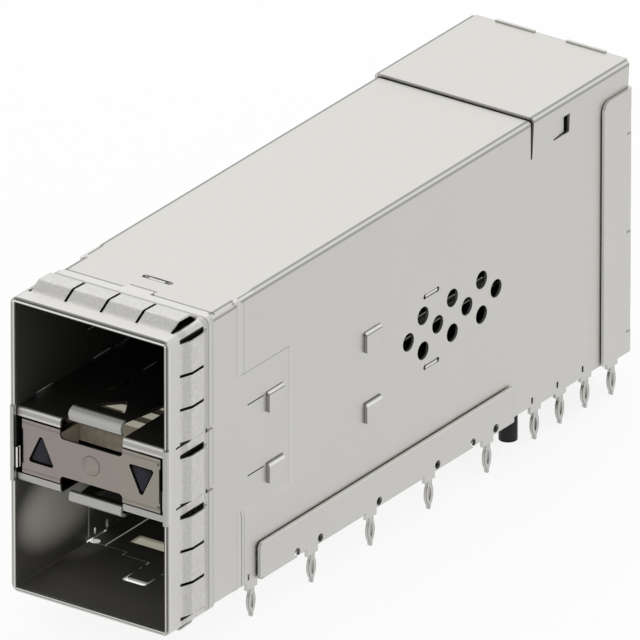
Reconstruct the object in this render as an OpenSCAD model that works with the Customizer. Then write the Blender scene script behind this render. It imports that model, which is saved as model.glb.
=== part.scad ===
// Stacked two-port SFP cage: a folded sheet shell with a spring-finger gasket round its
// front, press-fit pins along its lower edges and an edge connector inside its rear.
// X is the width, Y runs from the front rim to the rear cover and Z is up.
// Heights inside the modules are counted from the floor of the lower port.

/* [Ports] */
// Clear width of each port
port_w = 14; // [13.9:0.05:14.4]
// Clear height of each port
port_h = 8.95; // [8.8:0.05:9.3]
// Height of the bay between the lower port's ceiling and the upper port's floor
bay_h = 6.28; // [6.1:0.02:7.2]

/* [Sheet] */
// Thickness of the cage's sheet
sheet = 0.25; // [0.2:0.01:0.28]
// Outside radius of the front ring's folds
fold_r = 0.45; // [0.35:0.05:0.6]
// Outside radius of the sharper folds
sharp_r = 0.32; // [0.3:0.01:0.4]
// Clearance between sheets that lie against each other
nest = 0.02; // [0.01:0.01:0.04]

/* [Shell] */
// Length of the shell from the front rim to the rear cover
shell_len = 62.28; // [61:0.1:68]
// Length of the front ring, which is closed on four sides
ring_len = 9.4; // [9:0.1:9.8]
// Step by which the shell widens behind the ring
joggle = 0.1; // [0.05:0.01:0.15]
// Length over which the sheet slopes up that step
ramp = 0.4; // [0.3:0.05:0.6]
// Length of the raised cap at the shell's rear
cap_len = 13.1; // [12.5:0.1:14]
// Height by which the cap's walls begin to flare above the lower edge of its slit
cap_flare_h = 3.2; // [2.5:0.1:4]
// Flare of the cap's walls at the top
cap_flare = 0.18; // [0.1:0.01:0.2]
// Width of the slit that frees the cap
cap_slit = 0.2; // [0.14:0.02:0.24]
// Width of the slits round the floor's tongue and beside its rails
slit = 0.14; // [0.1:0.02:0.2]
// Width of a sheared cut whose edges stay close together
shear = 0.05; // [0.04:0.01:0.08]

/* [Vents] */
// Diameter of a vent hole
vent_d = 1.5; // [1:0.1:1.8]
// Distance between vent holes in a row
vent_pitch = 3.98; // [3.6:0.02:4.4]
// Height between the rows of vent holes
vent_row_h = 1.49; // [1.3:0.01:1.6]
// Vent holes in the middle row
vent_count = 4; // [2:1:5]
// Distance of the last vent hole from the shell's rear end
vent_back = 18; // [17:0.1:19]

/* [Press-fit pins] */
// Height of the lower port's floor above the circuit board
stand_off = 0.6; // [0.45:0.05:0.9]
// Length of a pin below the board's face
pin_len = 2.45; // [2.2:0.05:3]
// Width of a pin's eye
pin_w = 0.95; // [0.8:0.05:1.1]
// Width of the shoulder that stands on the board
pin_shoulder = 1.45; // [1.2:0.05:1.6]
// Distance of the first shell pin from the front rim
front_pin_y = 11.23; // [11:0.05:11.4]
// Distance of the last shell pin from the shell's rear end
rear_pin_back = 5.56; // [5:0.02:6]
// Distance between the shell's rear pins
rear_pin_pitch = 3.48; // [3:0.02:3.6]
// Distance of the first floor pin from the front rim
floor_pin_y = 18.82; // [18.2:0.02:19.4]
// Distance of the last floor pin from the floor plate's rear edge
floor_pin_end = 3.61; // [3.2:0.01:4]
// Distance of the rear cover's pins from the shell's rear end
cover_pin_back = 2.42; // [2.3:0.02:2.6]

/* [Gasket] */
// Thickness of the gasket's strip
gasket_t = 0.15; // [0.1:0.01:0.2]
// Depth of the gasket from front to back
gasket_len = 6.05; // [5.9:0.05:6.4]
// Rise of the fingers on the top and bottom
finger_rise = 0.66; // [0.4:0.02:0.8]
// Rise of the fingers on the sides
side_finger_rise = 0.4; // [0.25:0.01:0.5]
// Distance between the fingers on the top and bottom
finger_pitch = 3.33; // [3:0.01:3.36]
// Distance between the fingers on the sides
side_finger_pitch = 2.85; // [2.6:0.01:2.9]
// Width of the slot between two fingers
finger_slot = 0.24; // [0.15:0.01:0.4]
// Width of the opening at each end of a row of fingers
row_end = 0.33; // [0.25:0.01:0.4]
// Height of the single finger on each side between the ports
bay_finger_h = 3.8; // [3.4:0.1:4]

/* [Shelves] */
// Width of a latch tongue
tongue_w = 4.9; // [4.4:0.1:5.2]
// Width of the opening around a latch tongue
tongue_gap_w = 5.86; // [5.6:0.02:6]
// Height of the tongue's crest above the shelf
tongue_rise = 0.97; // [0.7:0.01:1.1]
// Length of the tongue from its front lip to its root
tongue_len = 8.9; // [8:0.1:9.6]
// Width of the latch hole's base
latch_w = 3; // [2.6:0.1:3.2]
// Length of the latch hole from base to point
latch_len = 2.6; // [2.2:0.1:3]
// Height of the folded lip at the shelf's front edge
lip_h = 0.72; // [0.5:0.02:0.8]
// Length of a wall tab along the wall
tab_len = 2.1; // [1.8:0.05:2.3]
// Height of a wall tab's folded leg
tab_h = 1.45; // [1:0.05:1.6]
// Distance of the first wall tab from the front rim
tab_y = 13.35; // [13:0.05:13.8]
// Distance between the wall tabs
tab_pitch = 13; // [12.5:0.1:13.5]
// Distance of the flush tab from the front rim
flush_tab_y = 34.6; // [34:0.1:35.2]
// Length of the flush tab's slot
flush_tab_len = 1.7; // [1.4:0.1:2]

/* [Front plate] */
// Distance of the front plate's edges from the walls
plate_inset = 0.53; // [0.45:0.01:0.7]
// Thickness of the front plate
plate_t = 0.2; // [0.15:0.01:0.25]
// Clearance between the plate's wings and the shelf lips
plate_gap = 0.15; // [0.1:0.01:0.25]
// Distance of a triangular window's middle from the plate's edge
window_inset = 1.77; // [1.6:0.01:1.9]
// Width of a triangular window
window_w = 2.5; // [1.8:0.1:2.5]
// Height of a triangular window
window_h = 2.65; // [2:0.05:2.7]

/* [Light pipes] */
// Side of a light pipe's square bar
pipe_w = 1.4; // [1:0.05:1.6]
// Distance of each light pipe's middle from the wall
pipe_inset = 1.6; // [1.5:0.02:1.7]

/* [Connector] */
// Distance of the connector's front wall from the shell's rear end
housing_back = 18.2; // [18:0.1:18.6]
// Length of the connector's block
housing_len = 13.4; // [13:0.1:13.8]
// Length of each card nose in front of the block
nose_len = 5.6; // [5:0.1:6.2]
// Height of a card nose
nose_h = 5.4; // [5:0.1:5.8]
// Width of a card slot
card_w = 9.3; // [9.1:0.05:9.6]
// Height of a card slot
card_h = 1.2; // [1.1:0.02:1.4]
// Distance between contacts
contact_pitch = 0.8; // [0.78:0.01:0.82]
// Thickness of a wafer
wafer_t = 0.74; // [0.7:0.01:0.76]
// Thickness of a terminal
lead_t = 0.2; // [0.15:0.01:0.25]
// Width of a terminal's strip
lead_w = 0.45; // [0.35:0.01:0.5]
// Length of the board tails below the board's face
tail_len = 1.9; // [1.6:0.05:2.1]
// Radius of an alignment peg
peg_r = 0.755; // [0.7:0.005:0.8]
// Distance of each peg's middle from the wall
peg_inset = 1.5; // [1.4:0.05:1.7]
// Distance of each peg's middle behind the front of the connector's block
peg_back = 4.6; // [4.2:0.05:5]
// Length of the pegs below the board's face
peg_len = 2.45; // [2:0.05:2.45]

/* [Hidden] */
wafer_count = 10;
chord = 6;                                  // chords in a rounded corner of a bent sheet
eps = 0.01;                                 // how far a cutter runs past a face
$fn = 48;

half_w = port_w / 2;
inner_h = 2 * port_h + bay_h;
ring_out = half_w + sheet;                  // outside of the front ring's walls
body_in = half_w + joggle;                  // inside of the walls behind the ring
body_out = body_in + sheet;
body_top = inner_h + joggle + sheet;
cap_top = body_top + sheet;
seat = max(nest, 0.4 * (sharp_r - sheet));  // clearance that clears the inside of a sharp fold
wall_bottom = seat;                         // lower edge of the walls over the floor plate
skirt_bottom = -0.2;                        // lower edge of the walls behind the floor plate
mid_z = port_h + bay_h / 2;                 // middle of the bay
board_z = -stand_off;
patch_y = 16.3;                             // rear edge of the ring-level patch on each wall
patch_z = [6.4, 18];                        // lower and upper edge of that patch
patch_back = ring_len + 2.1;                // rear edge of the ring-level patch in the top
patch_chamfer = 1.6;                        // distance of that edge's slanted corners from the walls
lap = 0.3;                                  // length over which a step overlaps
cap_y = shell_len - cap_len;
flare_z = cap_top - cap_flare_h - 0.3;      // height at which the cap's walls start to flare

// Floor plate
floor_y = 9.95;                             // front edge of the floor plate
floor_stop = 16;                            // from the shell's rear end to the floor plate
floor_back = shell_len - floor_stop;        // rear edge of the floor plate
strip_gap = 0.13;                           // clearance of the strips outside the walls
strip_in = body_out + strip_gap;
strip_out = strip_in + sheet;
strip_h = 3;                                // height of the strips
strip_y = 11.8;                             // front end of the strips outside the walls
strip_r = 0.5;                              // radius of a strip's front top corner
floor_pin_pitch = (floor_back - floor_pin_end - floor_pin_y) / 3;
floor_pins = [for (i = [0:3]) floor_pin_y + i * floor_pin_pitch];
shell_pins = [front_pin_y, for (i = [2:-1:0]) shell_len - rear_pin_back - i * rear_pin_pitch];

// Shelves
upper_z = port_h + bay_h;                   // top face of the upper shelf
lower_z = port_h;                           // bottom face of the lower shelf
shelf_y = 0.3;                              // front face of the shelf lips
shelf_side = half_w - nest;
shelf_back = shell_len - housing_back - nest;
tongue_y = 0.5;                             // front edge of a tongue's lip
latch_y = 2.6;                              // base of the triangular hole in a tongue
tab_ys = [tab_y, tab_y + tab_pitch];
tab_slack = 0.05;                           // clearance of a tab in its slot
ring_slot = [2.9, 5, 0.04, 0.14];           // front, rear, distance from the shelf and height

// Gasket
collar_in = ring_out + nest;
collar_out = collar_in + gasket_t;
collar_low = -sheet - nest - gasket_t;
collar_high = inner_h + sheet + nest + gasket_t;
wrap_y = -nest - gasket_t;                  // front face of the strip where it wraps the rim
finger_y = [1.55, 2.65, 4.2, 5.15];         // foot, crest, shoulder and rear foot of a finger
finger_fall = 0.92;                         // share of the rise left at the shoulder
wrap_z = [port_h + 0.1, port_h + bay_h + 0.15];
group_z = [port_h + 1.15, upper_z + 0.02];  // heights of the cuts between the side's rows
hook_z = [port_h + 1.35, port_h + 3.05];    // lower and upper edge of the hook inside the wrap
hook_in = 0.38;                             // how far that hook reaches inside the wall
bay_finger_z = mid_z + 0.16;                // middle of the single finger between the ports

// Connector
block_y = shell_len - housing_back;         // front face of the connector's block
block_back = block_y + housing_len;
housing_side = half_w;                      // half the width of the connector's block
front_wall = 1.4;
slot_zs = [port_h / 2 + 0.1, port_h + bay_h + port_h / 2 + 0.1];   // middle of each card slot
cavity_x = wafer_count * contact_pitch / 2 + 0.03;
cavity_top = inner_h - 1.8;
organiser_h = 0.85;
wafer_y = block_y + front_wall + nest;
peg_x = half_w - peg_inset;
pipe_x = half_w - pipe_inset;
lead_rows = [for (z = slot_zs, s = [-1, 1]) [z, s]];
lead_first = 1.6;                           // from the wafers' front to the first row of tails
lead_step = 2.6;                            // between the rows of tails
lead_level = 1.5;                           // from a slot's middle to its terminals inside the block
lead_tip = [0.75, 0.62];                    // from the nose's front and the slot's middle to a tip
lead_touch = [1.1, 0.42];                   // from the tip and the slot's middle to where a card lies
lead_bend = 1.2;                            // size of the slanted corner above a tail
tail_w = 0.3;                               // width of a tail
tail_eye = [0.5, 1.1];                      // width and length of a tail's eye
groove = [0.25, 1.9, 0.6];                  // half width and half height of a contact's groove, and its start
wafer_chamfer = 2.4;
wafer_rear = 0.875;                         // plastic behind the last terminal
tail_gap = 0.03;                            // clearance of a tail in its hole

// Rear cover
cover_y = shell_len + seat;
cover_back = cover_y + sheet;
flange_len = 3.9;
flange_top = inner_h - 1.7;
cover_gap = seat + cap_flare * max(0, flange_top - flare_z) / cap_flare_h;
flange_in = body_out + cover_gap;
cover_pin_y = shell_len - cover_pin_back;

// Placing: the tips of the pins stand at z = 0
lift = stand_off + max(pin_len, peg_len);
middle_y = (wrap_y + cover_back) / 2;

// ---- Paths ---------------------------------------------------------------------------------

function unit(v) = v / norm(v);
function turned(v, a) = [v[0] * cos(a) - v[1] * sin(a), v[0] * sin(a) + v[1] * cos(a)];

// Points of the arc of radius r that rounds the corner at b, between a and c
function corner(a, b, c, r) =
    let (
        u = unit(a - b),
        v = unit(c - b),
        half = acos(u * v) / 2,
        centre = b + unit(u + v) * r / sin(half),
        start = b + u * r / tan(half) - centre,
        turn = (180 - 2 * half) * (cross(u, v) > 0 ? -1 : 1)
    )
    [for (k = [0:chord]) centre + turned(start, turn * k / chord)];

// An open path with its inner corners rounded
function rounded(path, r) = [
    path[0],
    for (i = [1:len(path) - 2]) each corner(path[i - 1], path[i], path[i + 1], r),
    path[len(path) - 1]];

// A closed outline with every corner rounded
function rounded_loop(path, r) =
    let (n = len(path))
    [for (i = [0:n - 1]) each corner(path[(i + n - 1) % n], path[i], path[(i + 1) % n], r)];

// The mitred step to the right of a path at point i, for a strip of unit thickness
function mitre(path, i) =
    let (
        last = len(path) - 1,
        before = unit(path[max(i, 1)] - path[max(i, 1) - 1]),
        after = unit(path[min(i, last - 1) + 1] - path[min(i, last - 1)]),
        right = [after[1], -after[0]],
        m = unit([before[1] + after[1], -before[0] - after[0]])
    )
    m / (m * right);

// Section of a bent sheet: the path is one face, the other lies t to its right
module bent_sheet(path, t) {
    other = [for (i = [0:len(path) - 1]) path[i] + mitre(path, i) * t];
    left = t > 0 ? path : other;
    right = t > 0 ? other : path;
    polygon(concat(right, [for (i = [len(left) - 1:-1:0]) left[i]]));
}

// ---- Placing helpers -----------------------------------------------------------------------

// Extrudes an (x, z) section from y0 to y1
module along_y(y0, y1) {
    translate([0, y1, 0]) rotate([90, 0, 0]) linear_extrude(y1 - y0) children();
}

// Extrudes a (y, z) section from x0 to x1
module along_x(x0, x1) {
    translate([x0, 0, 0]) rotate([90, 0, 90]) linear_extrude(x1 - x0) children();
}

// Extrudes an (x, y) plan from z0 to z1
module along_z(z0, z1) {
    translate([0, 0, z0]) linear_extrude(z1 - z0) children();
}

// A box between two corners
module block(low, high) {
    translate(low) cube(high - low);
}

// The children and their mirror image in the cage's middle plane
module both_sides() {
    children();
    mirror([1, 0, 0]) children();
}

// Moves a piece from the floor of the lower port to the part's own origin
module placed() {
    translate([0, -middle_y, lift]) children();
}

// A rounded rectangle, centred in x
module rounded_box(half, z0, z1, r) {
    translate([-half, z0 + r]) square([2 * half, z1 - z0 - 2 * r]);
    translate([-half + r, z0]) square([2 * (half - r), z1 - z0]);
    for (x = [-half + r, half - r], z = [z0 + r, z1 - r]) translate([x, z]) circle(r);
}

// ---- Press-fit pins ------------------------------------------------------------------------

// A pointed oval: what two equal circles share
module lens(w, l) {
    r = (l * l + w * w) / (4 * w);
    intersection() {
        translate([r - w / 2, 0]) circle(r, $fn = 96);
        translate([w / 2 - r, 0]) circle(r, $fn = 96);
    }
}

// Eye-of-needle pin in the (y, z) plane, hanging from a shoulder that starts at root_z
module press_fit_pin(root_z) {
    tip_w = 0.3;
    neck_w = 0.6;
    eye_z = board_z - 0.46 * pin_len;
    difference() {
        union() {
            translate([-pin_shoulder / 2, board_z]) square([pin_shoulder, root_z - board_z]);
            translate([-neck_w / 2, eye_z]) square([neck_w, board_z - eye_z + eps]);
            translate([0, eye_z]) lens(pin_w, 0.94 * pin_len);
            translate([-tip_w / 2, board_z - pin_len + tip_w / 2])
                square([tip_w, 0.5 * pin_len]);
            translate([0, board_z - pin_len + tip_w / 2]) circle(tip_w / 2);
        }
        translate([0, eye_z]) lens(0.3 * pin_w, 0.5 * pin_len);
    }
}

// ---- Shell ---------------------------------------------------------------------------------

// Section of the shell with its walls and top at a given step outside the ring
module shell_section(step, bottom, r) {
    difference() {
        rounded_box(half_w + sheet + step, bottom, inner_h + sheet + step, r);
        rounded_box(half_w + step, bottom + sheet, inner_h + step, r - sheet);
    }
}

// What lies over the ring-level patch of a wall, outwards from the given level. The patch's edges
// slope away from it, apart from its upper one, which is sheared straight.
module wall_patch(level) {
    far = level + 2 * joggle;
    run = 2 * ramp;
    along_z(-2, cap_top + 1)
        polygon([[level, -1], [level, ring_len], [far, ring_len + run], [far, -1]]);
    intersection() {
        along_z(-2, cap_top + 1)
            polygon([[level, -1], [level, patch_y], [far, patch_y + run], [far, -1]]);
        along_y(-1, patch_y + run) polygon([[level, patch_z[0]], [level, patch_z[1]],
            [far, patch_z[1]], [far, patch_z[0] - run]]);
    }
}

// What lies over the ring-level patch in the top, with its slanted rear corners
module top_patch(level) {
    reach = 2 * port_w;
    slope = [[-reach, level], [0, level], [2 * ramp, level + 2 * joggle], [-reach, level + 2 * joggle]];
    intersection() {
        translate([0, patch_back, 0]) along_x(-reach, reach) polygon(slope);
        for (s = [-1, 1])
            translate([s * (half_w - patch_chamfer), patch_back, 0]) rotate([0, 0, -45 * s])
                along_x(-reach, reach) polygon(slope);
    }
}

// The front ring, with its floor run on to the floor plate's front edge
module ring_level() {
    along_y(0, ring_len) shell_section(0, -sheet, fold_r);
    block([-half_w, ring_len - lap, -sheet], [half_w, floor_y - seam_gap, 0]);
}

// The long walls and top behind the ring, without the cap
module body_level() {
    difference() {
        along_y(ring_len - lap, cap_y - cap_slit) intersection() {
            difference() {
                rounded_box(body_out, -2, body_top, sharp_r);
                rounded_box(half_w, -1, inner_h, fold_r - sheet);
            }
            translate([-body_out, wall_bottom]) square([2 * body_out, body_top]);
        }
        both_sides() wall_patch(ring_out);
        top_patch(inner_h + sheet);
        difference() {
            along_y(0, cap_y) rounded_box(body_in, -1, inner_h + joggle, sharp_r - sheet);
            both_sides() wall_patch(half_w);
            top_patch(inner_h);
        }
        // Sheared upper edge of each wall's patch, and the cut below its front end
        both_sides() {
            y = ring_len + ramp;
            block([half_w - 1, y, patch_z[1] - shear], [body_out + 1, patch_y, patch_z[1]]);
            block([half_w - 1, y, -1], [body_out + 1, y + shear, patch_z[0]]);
        }
    }
}

// The raised cap at the rear, whose walls flare towards the top
module cap_level() {
    wall = [
        [-body_out, skirt_bottom], [-body_out, flare_z], [-body_out - cap_flare, cap_top],
        [body_out + cap_flare, cap_top], [body_out, flare_z], [body_out, skirt_bottom]];
    face = concat(
        [wall[0], wall[1]],
        corner(wall[1], wall[2], wall[3], sharp_r),
        corner(wall[2], wall[3], wall[4], sharp_r),
        [wall[4], wall[5]]);
    along_y(cap_y, shell_len) bent_sheet(face, sheet);
    both_sides() block([body_in, cap_y - 2 * cap_slit, wall_bottom], [body_out, cap_y + eps, flare_z]);
}

// A lanced window in each wall of the cap, with its flap bent inwards from the front edge
window_y = 10.18;                           // distance of the window's front edge from the rear
window_len = 2.1;
window_z = inner_h - 2.45;
window_tall = 1.6;
flap_depth = 0.2;                           // how far the flap reaches inside the wall
flap_short = 0.42;                          // how far the flap stops short of the window's rear edge

module cap_windows() {
    block([half_w - 1, shell_len - window_y, window_z],
        [body_out + 1, shell_len - window_y + window_len, window_z + window_tall]);
}

module cap_flaps() {
    y = shell_len - window_y;
    along_z(window_z + 0.1, window_z + window_tall)
        polygon([[body_in + nest, y - 0.1], [body_out, y - 0.1],
            [body_out - flap_depth, y + window_len - flap_short],
            [body_in - flap_depth, y + window_len - flap_short]]);
}

// Slots and slits in one wall for the tabs of the shelves
module wall_slots() {
    for (z = [upper_z + ring_slot[2], lower_z - ring_slot[2] - ring_slot[3]])
        block([half_w - 1, ring_slot[0], z], [ring_out + eps, ring_slot[1], z + ring_slot[3]]);
    for (z = [upper_z - sheet / 2, lower_z + sheet / 2]) {
        for (y = tab_ys)
            block([half_w - 1, y - tab_slack, z - sheet / 2 - tab_slack],
                [body_out + 1, y + tab_len + tab_slack, z + sheet / 2 + tab_slack]);
        block([half_w - 1, tab_y - 2.55, z - shear], [body_out + 1, tab_y - 0.4, z + shear]);
        along_x(half_w - 1, body_out + 1) translate([flush_tab_y, z]) {
            r = sheet / 2 + tab_slack;
            translate([0, -r]) square([flush_tab_len, 2 * r]);
            for (end = [0, flush_tab_len]) translate([end, 0]) circle(1.25 * r);
        }
    }
}

module vents() {
    for (row = [-1:1])
        for (i = [0:vent_count - (row == 0 ? 1 : 2)])
            translate([half_w - 1, shell_len - vent_back - (i + (row == 0 ? 0 : 0.5)) * vent_pitch,
                mid_z + row * vent_row_h])
                rotate([0, 90, 0]) cylinder(d = vent_d, h = 3);
}

// Slot across the shell's top, with a tab that reaches into it from the front
module top_louvre() {
    along_z(inner_h - 1, body_top + 1) translate([0, ring_len - 0.25]) difference() {
        union() {
            square([2.3, 0.5], center = true);
            for (s = [-1, 1]) translate([s * 1.15, 0]) circle(0.25);
        }
        translate([-0.75, -1]) square([1.5, 1.05]);
    }
}

// Plan of the relief holes where the floor's seam meets the walls
module corner_holes() {
    both_sides() translate([half_w - corner_r + shear, floor_y + corner_step]) circle(corner_r);
}

module cage_shell() {
    color([0.86, 0.86, 0.84]) {
        difference() {
            union() {
                ring_level();
                body_level();
                cap_level();
            }
            both_sides() {
                wall_slots();
                vents();
                cap_windows();
            }
            top_louvre();
            // Rounded slot and recess in the ring's floor, for the floor plate's tongue and front edge
            along_z(-1, eps) {
                rounded_box(tongue[0] + slit, tongue[1] - tongue_lead, ring_len + 1, 0.3);
                translate([-seam[0] - seam_gap, floor_y - seam[1] - seam_gap])
                    square([2 * (seam[0] + seam_gap), 2]);
                corner_holes();
            }
            // Relief notches beside the front pin, and slots in front of the rear pins
            both_sides() {
                for (y = [front_pin_y + 0.95, front_pin_y + 2.4])
                    block([half_w - 1, y, -1], [body_out + 1, y + 0.35, 0.85]);
                for (y = shell_pins)
                    block([half_w - 1, y - pin_relief[1], -1], [body_out + 1, y - pin_relief[0], 0.75]);
                for (y = relief_ys) translate([half_w - 1, y, relief_r])
                    rotate([0, 90, 0]) cylinder(r = relief_r, h = 2);
            }
        }
        both_sides() cap_flaps();
        both_sides() along_x(body_in, body_out) {
            for (y = shell_pins) translate([y, 0]) press_fit_pin(wall_bottom + 0.2);
        }
    }
}

// ---- Gasket --------------------------------------------------------------------------------

// Section of one spring finger: y from front to rear, z from the collar's outer face
module finger_section(rise) {
    foot = 0.25;
    path = [
        [finger_y[0] - foot, 0], [finger_y[0], 0], [finger_y[1], rise],
        [finger_y[2], rise * finger_fall], [finger_y[3], 0], [finger_y[3] + foot, 0]];
    bent_sheet(rounded(path, 0.28), gasket_t);
}

// A row of fingers along x, whose rear slopes are one strip
module finger_row(count, pitch, rise) {
    half = row_width(count, pitch) / 2;
    difference() {
        along_x(-half, half) finger_section(rise);
        for (i = [1:count - 1]) {
            x = (i - count / 2) * pitch;
            block([x - finger_slot / 2, finger_y[0], -1], [x + finger_slot / 2, finger_y[2], rise + 1]);
        }
    }
}

function row_width(count, pitch) = count * pitch - finger_slot;

// The cut under a row of fingers, with an opening at each end
module finger_window(width) {
    block([-width / 2, finger_y[0], -1], [width / 2, finger_y[3], 1]);
    block([-width / 2 - row_end, finger_y[0], -1], [width / 2 + row_end, finger_y[2] + 0.5, 1]);
}

// Moves a row made around x = 0, z = 0 to the top, the bottom or a side of the collar
module on_top() { translate([0, 0, collar_high]) children(); }
module on_bottom() { translate([0, 0, collar_low]) mirror([0, 0, 1]) children(); }
module on_side(z) { translate([collar_out, 0, z]) rotate([0, 90, 0]) children(); }

top_count = 4;
side_count = 3;
side_row_h = row_width(side_count, side_finger_pitch);
side_rows = [0.7 + side_row_h / 2, inner_h - 0.3 - side_row_h / 2];

// The strip that wraps the wall's front edge between the ports
module rim_wrap() {
    along_z(wrap_z[0], wrap_z[1])
        bent_sheet(rounded([[half_w, wrap_y], [collar_out, wrap_y], [collar_out, 1]],
            gasket_t + 2 * nest), -gasket_t);
    along_z(hook_z[0], hook_z[1])
        bent_sheet(rounded([[half_w - hook_in, 1.2], [half_w - hook_in, wrap_y], [half_w + 0.1, wrap_y]],
            0.2), -gasket_t);
}

module emi_gasket() {
    color([0.88, 0.88, 0.86]) {
        difference() {
            along_y(0.1, gasket_len) difference() {
                rounded_box(collar_out, collar_low, collar_high, fold_r + nest + gasket_t);
                rounded_box(collar_in, collar_low + gasket_t, collar_high - gasket_t, fold_r + nest);
            }
            on_top() finger_window(row_width(top_count, finger_pitch) - row_end / 2);
            on_bottom() finger_window(row_width(top_count, finger_pitch) - row_end / 2);
            both_sides() {
                for (z = side_rows) on_side(z) finger_window(side_row_h);
                on_side(bay_finger_z) finger_window(bay_finger_h);
                // Cuts between the rows, from the rear edge and behind the rim
                for (z = group_z) {
                    block([half_w, gasket_len - 1.1, z - 0.18],
                        [collar_out + 1, gasket_len + 1, z + 0.18]);
                    block([half_w, 1, z - 0.08], [collar_out + 1, 2.9, z + 0.08]);
                }
            }
        }
        on_top() finger_row(top_count, finger_pitch, finger_rise);
        on_bottom() finger_row(top_count, finger_pitch, finger_rise);
        both_sides() {
            for (z = side_rows) on_side(z) finger_row(side_count, side_finger_pitch, side_finger_rise);
            on_side(bay_finger_z) finger_row(1, bay_finger_h + finger_slot, side_finger_rise);
            rim_wrap();
        }
        // Rear tab on the top, and the deeper rear band beside it
        block([-1.28, gasket_len - 1, collar_high - gasket_t], [1.28, gasket_len + 0.85, collar_high]);
        block([fold_r - ring_out, gasket_len - eps, collar_high - gasket_t],
            [ring_out - fold_r, gasket_len + 0.25, collar_high]);
    }
}

// ---- Floor plate ---------------------------------------------------------------------------

floor_side = half_w - nest;
seam = [half_w - 3.55, 0.55];               // half width and depth of the floor's stepped front edge
tongue = [0.95, 6.4];                       // half width and front end of the tongue under the ring
tongue_lead = 0.7;                          // opening in front of that tongue
seam_gap = 0.1;                             // width of that seam
corner_r = 0.42;                            // radius of the holes at the seam's ends
corner_step = 0.15;                         // from the seam back to their middle
barbs = [[7.2, 8.05], [8.4, 8.9]];          // front and rear ends of the tongue's wider stretches
floor_window = [half_w - 2.6, floor_y + 1.6, floor_y + 3];     // half width, front and rear edge
rail_slit = [half_w - 1.5, 6.5];            // distance from the middle, and length from the front edge
relief_r = 0.35;
relief_step = 1.09;                         // from a pin to the relief hole behind it
relief_lead = 2.03;                         // from the first and last pin to the one before it
relief_ys = concat([for (y = floor_pins) y + relief_step],
    [floor_pins[0] - relief_lead, floor_pins[3] - relief_lead]);
pin_relief = [0.36, 0.6];                   // from a shell pin to each end of the slot before it
bend_start = strip_y + 0.45;                // front end of the bend that carries the strip

module bottom_plate() {
    color([0.84, 0.84, 0.82])
    difference() {
        union() {
            // Floor between the walls
            block([-floor_side, floor_y, -sheet], [floor_side, floor_back, 0]);
            block([-seam[0], floor_y - seam[1], -sheet], [seam[0], floor_y + 1, 0]);
            block([-tongue[0], tongue[1], -sheet], [tongue[0], floor_y + 1, 0]);
            for (y = barbs)
                block([-tongue[0] - slit + nest, y[0], -sheet], [tongue[0] + slit - nest, y[1], 0]);
            // Floor, bend and strip outside the walls
            both_sides() along_y(bend_start, floor_back)
                bent_sheet(rounded([[floor_side - 0.5, -sheet], [strip_out, -sheet], [strip_out, 1]],
                    sharp_r), -sheet);
            both_sides() along_x(strip_in, strip_out) {
                difference() {
                    translate([strip_y, wall_bottom])
                        square([floor_back - strip_y, strip_h - wall_bottom]);
                    translate([strip_y, strip_h - strip_r]) square([strip_r, strip_r]);
                }
                translate([strip_y + strip_r, strip_h - strip_r]) circle(strip_r);
            }
        }
        // The bend is cut away around each pin, and ends in round relief holes
        both_sides() {
            for (y = floor_pins) {
                lead = (y == floor_pins[0] || y == floor_pins[3]) ? relief_lead : relief_step;
                block([floor_side, y - lead, -1], [strip_out + 1, y + relief_step, wall_bottom]);
            }
            for (y = relief_ys) translate([strip_in - 0.3, y, relief_r])
                rotate([0, 90, 0]) cylinder(r = relief_r, h = 1);
            // Long slits beside the port's rails
            block([rail_slit[0], floor_y - 1, -1], [rail_slit[0] + slit, floor_y + rail_slit[1], 1]);
        }
        along_z(-1, 1) corner_holes();
        // Window behind the seam
        block([-floor_window[0], floor_window[1], -1], [floor_window[0], floor_window[2], 1]);
        // Only the bends and strips run on beside the connector
        block([-housing_side - nest, block_y - nest, -1], [housing_side + nest, floor_back + 1, 1]);
    }
    color([0.84, 0.84, 0.82])
    both_sides() along_x(strip_in, strip_out)
        for (y = floor_pins) translate([y, 0]) press_fit_pin(wall_bottom + 0.4);
}

// ---- Rear cover ----------------------------------------------------------------------------

flange_r = 0.8;                             // radius of a flange's front top corner
corner_reliefs = [1.55, 10.15, 18.6];       // lower ends of the shallow reliefs in each rear corner
relief_size = [0.8, 2.15];                  // length and height of such a relief
cover_land = [1.5, 5.2];                    // inner and outer end of the land over each half of the cap

module rear_cover() {
    flange_y = cover_back - flange_len;
    flange_out = flange_in + sheet;
    root_y = flange_y + flange_r;
    color([0.85, 0.85, 0.83]) {
        difference() {
            union() {
                // Back wall and the two flanges folded forward from it
                along_z(skirt_bottom, flange_top)
                    bent_sheet(rounded([[-flange_out, root_y], [-flange_out, cover_back],
                        [flange_out, cover_back], [flange_out, root_y]], sharp_r), sheet);
                both_sides() along_x(flange_in, flange_out) {
                    translate([flange_y, skirt_bottom])
                        square([2 * flange_r, flange_top - flange_r - skirt_bottom]);
                    translate([root_y, skirt_bottom]) square([flange_r, flange_top - skirt_bottom]);
                    translate([root_y, flange_top - flange_r]) circle(flange_r);
                }
            }
            // Shallow reliefs pressed into the rear corners
            both_sides() for (z = corner_reliefs)
                block([flange_out - sheet / 2, cover_back - relief_size[0], z],
                    [flange_out + 1, cover_back + 1, z + relief_size[1]]);
        }
        // Back wall above the flanges, with two lands that stand over the cap
        along_y(cover_y, cover_back) {
            translate([-body_in, skirt_bottom]) square([2 * body_in, cap_top - nest - skirt_bottom]);
        }
        both_sides() along_x(cover_land[0], cover_land[1])
            translate([cover_y, cap_top - 1]) square([sheet, 1 + sheet / 2]);
        both_sides() along_x(flange_in, flange_out)
            translate([cover_pin_y, 0]) press_fit_pin(skirt_bottom + 0.5);
    }
}

// ---- Shelves -------------------------------------------------------------------------------

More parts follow.
